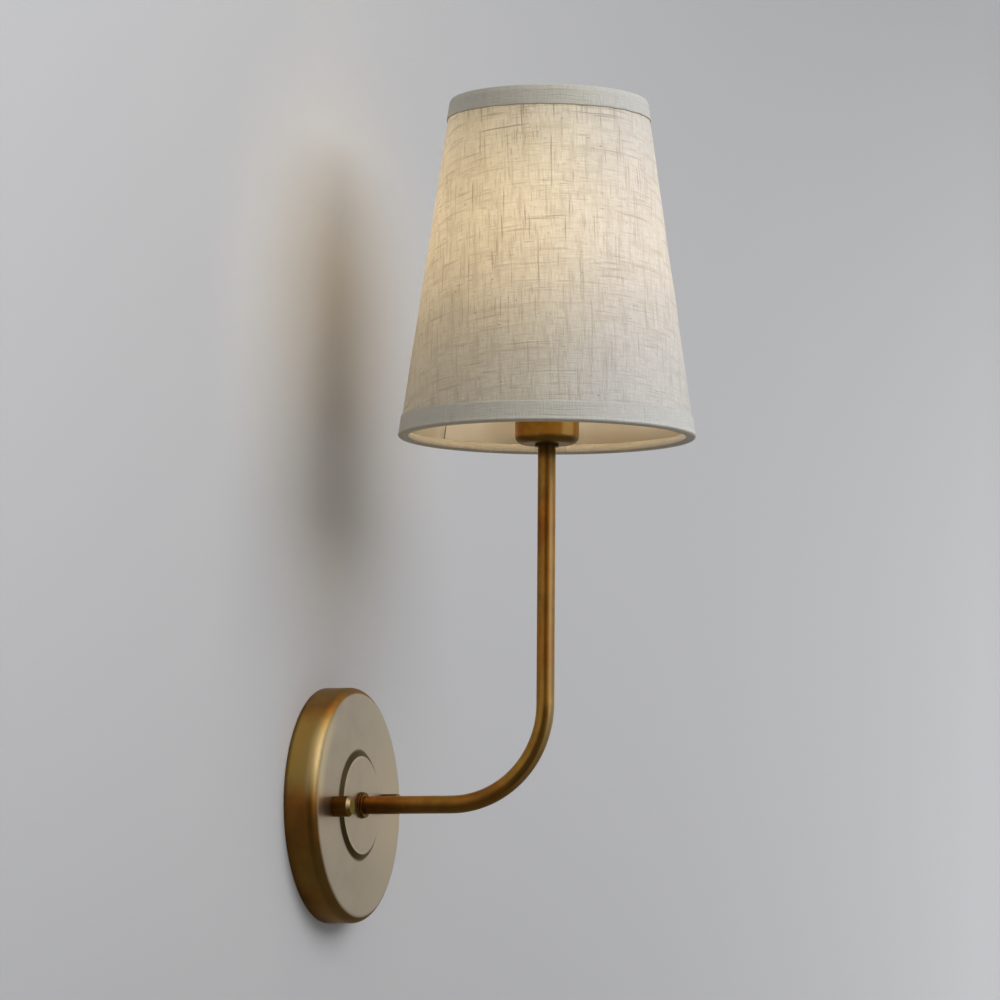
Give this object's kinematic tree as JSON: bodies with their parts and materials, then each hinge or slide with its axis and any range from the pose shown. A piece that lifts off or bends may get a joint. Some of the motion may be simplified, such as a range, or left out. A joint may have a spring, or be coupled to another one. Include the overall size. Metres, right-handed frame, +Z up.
{
  "type": "fabric shade wall light",
  "caption": "Wall light with a round dished brass backplate, a thin bent brass arm rising to a lamp cup, and a tapered linen shade with bound rims.",
  "frame": {"origin": "on the wall's face, at the centre of the backplate and of its bracket", "axes": "+Z up, -Y out of the wall along the arm, +X to the right of a person who faces the wall"},
  "size_m": [0.1508, 0.1924, 0.418],
  "materials": {
    "aged_brass": "aged, brushed, satin",
    "aged_brass_plate": "aged, brushed, satin",
    "zinc_steel": "zinc plated",
    "contact_brass": "plain",
    "green_screw": "plated",
    "earth_sleeve": "satin",
    "black_sleeve": "satin",
    "white_sleeve": "satin",
    "white_plastic": "satin",
    "white_ceramic": "glazed",
    "connector_plastic": "satin",
    "bulb_metal": "plain",
    "bulb_insulation": "opaque",
    "board": "matt",
    "frosted_glass": "frosted",
    "white_wire": "powder coated",
    "linen": "woven",
    "lining": "smooth",
    "band_cloth": "woven"
  },
  "bodies": {
    "lamp": {"wall_bracket": "zinc_steel", "bracket_stud_left": "zinc_steel", "bracket_stud_right": "zinc_steel", "stud_nut_left": "zinc_steel", "stud_nut_right": "zinc_steel", "backplate": "aged_brass_plate", "arm_tube": "aged_brass", "arm_collar": "aged_brass", "arm_washer": "zinc_steel", "arm_nut": "zinc_steel", "arm_bushing": "white_plastic", "earth_tab": "contact_brass", "earth_terminal": "contact_brass", "earth_screw": "green_screw", "earth_lead": "earth_sleeve", "seat_ring": "aged_brass", "lamp_cup": "aged_brass", "cup_nut": "zinc_steel", "holder_base": "white_plastic", "holder_insert": "white_ceramic", "holder_sleeve": "white_plastic", "screw_shell": "contact_brass", "centre_contact": "contact_brass", "terminal_screw_line": "contact_brass", "terminal_screw_neutral": "zinc_steel", "lead_line": "black_sleeve", "lead_neutral": "white_sleeve", "wire_connector_line": "connector_plastic", "wire_connector_neutral": "connector_plastic"},
    "thumb_nut_left": {"thumb_nut_left": "aged_brass"},
    "thumb_nut_right": {"thumb_nut_right": "aged_brass"},
    "bulb": {"bulb_cap": "bulb_metal", "bulb_insulator": "bulb_insulation", "bulb_contact": "bulb_metal", "bulb_housing": "white_plastic", "led_board": "board", "bulb_globe": "frosted_glass"},
    "shade": {"shade_top_frame": "white_wire", "shade_bottom_wire": "white_wire", "shade_fabric": "linen", "shade_liner": "lining", "shade_top_band": "band_cloth", "shade_bottom_band": "band_cloth"},
    "ring_nut": {"shade_ring_nut": "white_plastic"}
  },
  "joints": [
    {"name": "thumb_nut_left_turn", "type": "hinge", "parent": "lamp", "child": "thumb_nut_left", "pos_m": [-0.03394, -0.022, -0.00208], "axis": [0, 1, 0], "continuous": true},
    {"name": "thumb_nut_right_turn", "type": "hinge", "parent": "lamp", "child": "thumb_nut_right", "pos_m": [0.03394, -0.022, 0.00208], "axis": [0, 1, 0], "continuous": true},
    {"name": "bulb_turn", "type": "hinge", "parent": "lamp", "child": "bulb", "pos_m": [0, -0.117, 0.23], "axis": [0, 0, 1], "continuous": true},
    {"name": "shade_turn", "type": "hinge", "parent": "lamp", "child": "shade", "pos_m": [0, -0.117, 0.2118], "axis": [0, 0, 1], "continuous": true},
    {"name": "ring_nut_turn", "type": "hinge", "parent": "lamp", "child": "ring_nut", "pos_m": [0, -0.117, 0.2156], "axis": [0, 0, 1], "continuous": true}
  ]
}
